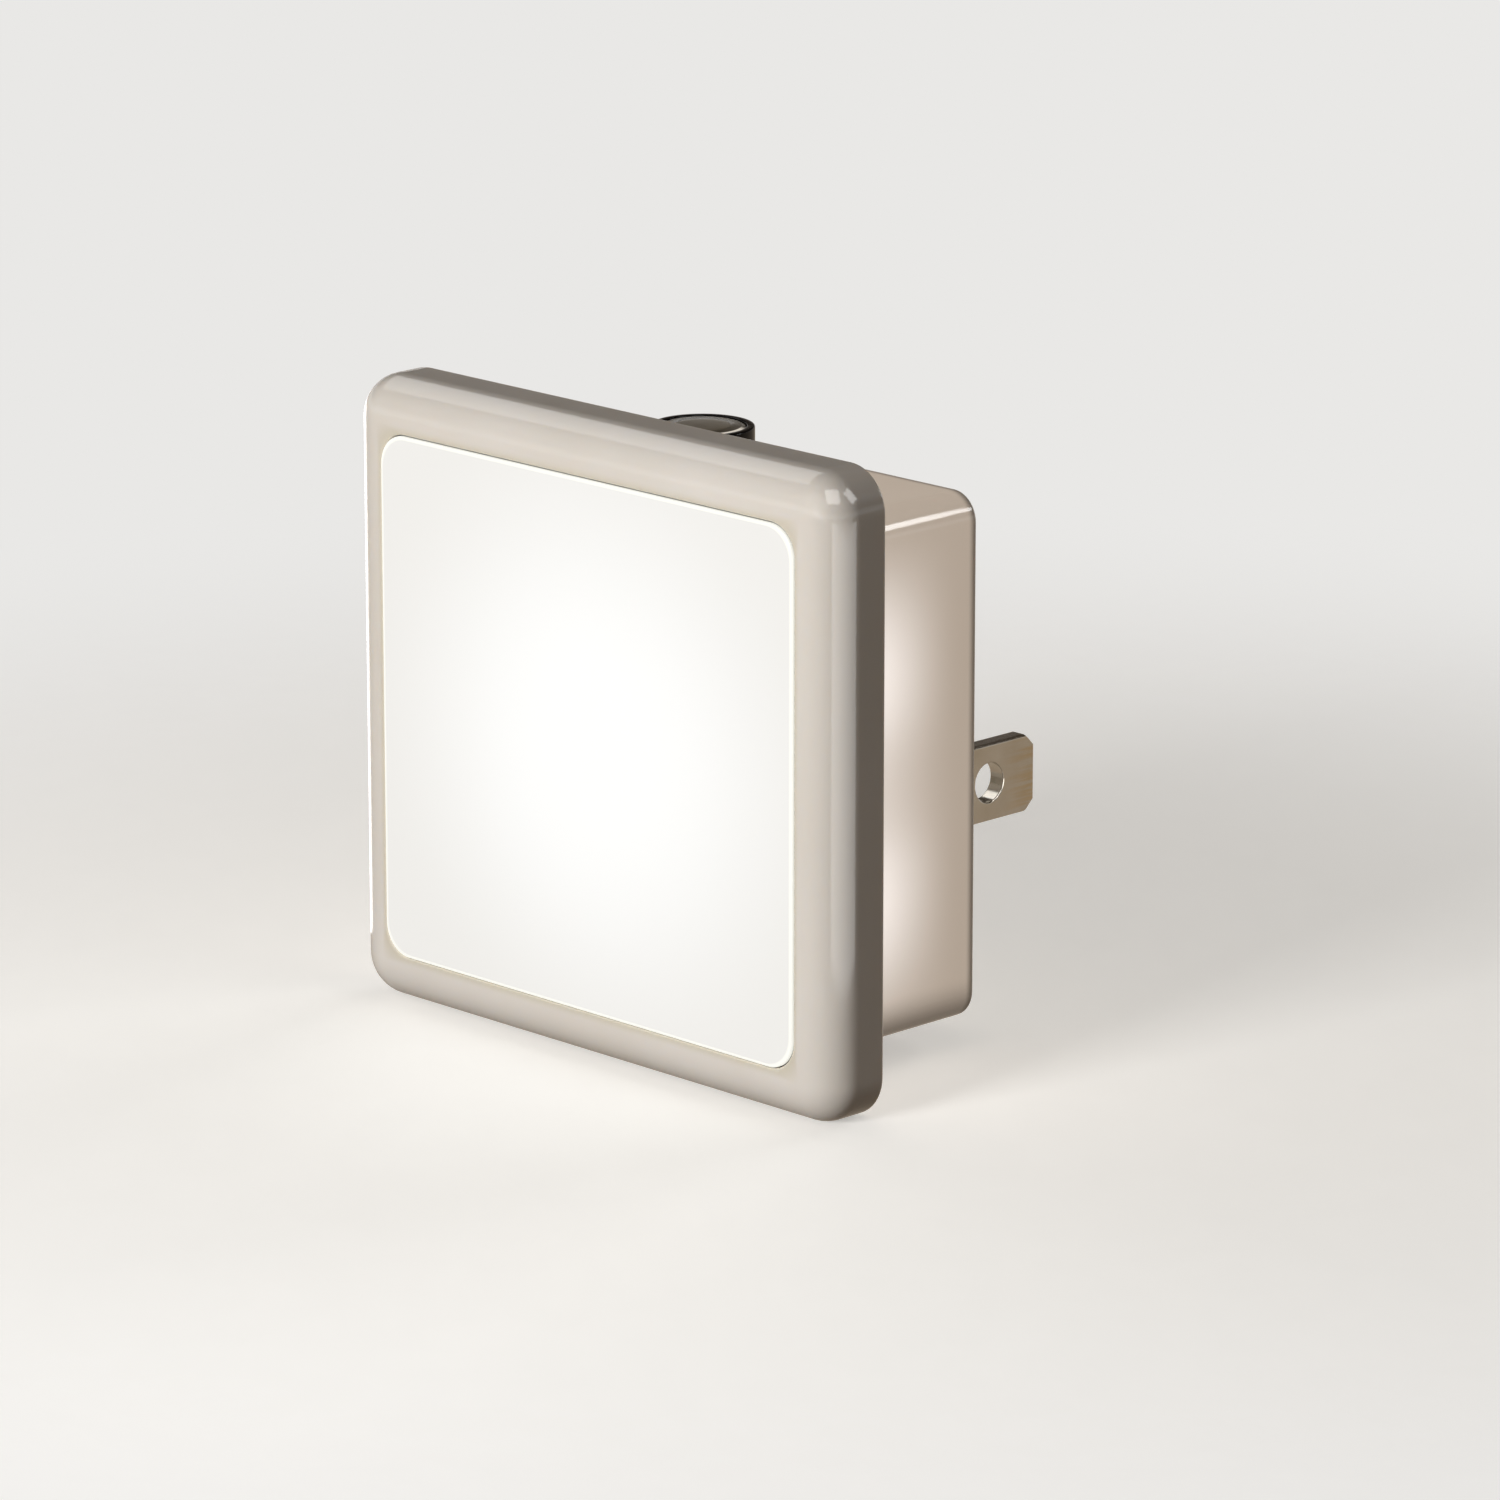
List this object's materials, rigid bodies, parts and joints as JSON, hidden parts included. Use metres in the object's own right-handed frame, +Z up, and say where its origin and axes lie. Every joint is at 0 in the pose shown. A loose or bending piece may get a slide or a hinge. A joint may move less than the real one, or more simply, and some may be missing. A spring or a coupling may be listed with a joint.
{
  "type": "plug-in night light",
  "caption": "Square plug-in LED night light with a framed opal window, a box housing that stands on the outlet, a dusk sensor on top and two fixed plug blades.",
  "frame": {"origin": "on the housing's back face, midway between the two blades", "axes": "+X to the right as seen from the room, +Y into the wall along the blades, +Z up"},
  "size_m": [0.053, 0.0428, 0.0502],
  "materials": {
    "housing_plastic": "moulded gloss",
    "opal_diffuser": "opal satin",
    "black_plastic": "moulded gloss",
    "smoked_window": "smoked gloss",
    "photocell_ceramic": "matt ceramic",
    "tinned_wire": "tinned",
    "plated_brass": "nickel plated",
    "retainer_plastic": "moulded",
    "reflector_plastic": "white gloss",
    "white_laminate": "solder mask",
    "led_body": "moulded",
    "phosphor": "silicone",
    "screw_steel": "zinc plated",
    "black_wire": "extruded",
    "red_wire": "extruded",
    "solder": "bright",
    "green_laminate": "solder mask",
    "film_case": "moulded",
    "capacitor_sleeve": "shrunk sleeve",
    "seal_rubber": "moulded",
    "black_resin": "moulded",
    "fuse_resistor_coat": "dipped",
    "resistor_coat": "dipped",
    "diode_glass": "glass"
  },
  "bodies": {
    "root": {"front_bezel": "housing_plastic", "diffuser_lens": "opal_diffuser", "rear_housing": "housing_plastic", "sensor_collar": "black_plastic", "sensor_window": "smoked_window", "photocell": "photocell_ceramic", "photocell_leads": "tinned_wire", "blade_neutral": "plated_brass", "blade_hot": "plated_brass", "blade_retainer": "retainer_plastic", "reflector": "reflector_plastic", "led_board": "white_laminate", "led_packages": "led_body", "led_phosphors": "phosphor", "led_board_screws": "screw_steel", "led_wire_negative": "black_wire", "led_wire_positive": "red_wire", "led_wire_solder": "solder", "main_board": "green_laminate", "main_board_screws": "screw_steel", "solder_joints": "solder", "film_capacitor": "film_case", "film_capacitor_leads": "tinned_wire", "electrolytic_capacitor": "capacitor_sleeve", "electrolytic_leads": "tinned_wire", "electrolytic_seal": "seal_rubber", "bridge_rectifier": "black_resin", "bridge_terminals": "tinned_wire", "fuse_resistor": "fuse_resistor_coat", "fuse_resistor_leads": "tinned_wire", "bleed_resistor": "resistor_coat", "bleed_resistor_leads": "tinned_wire", "zener_diode": "diode_glass", "zener_diode_leads": "tinned_wire", "transistor": "black_resin", "transistor_side_leads": "tinned_wire", "transistor_middle_lead": "tinned_wire"}
  },
  "joints": []
}
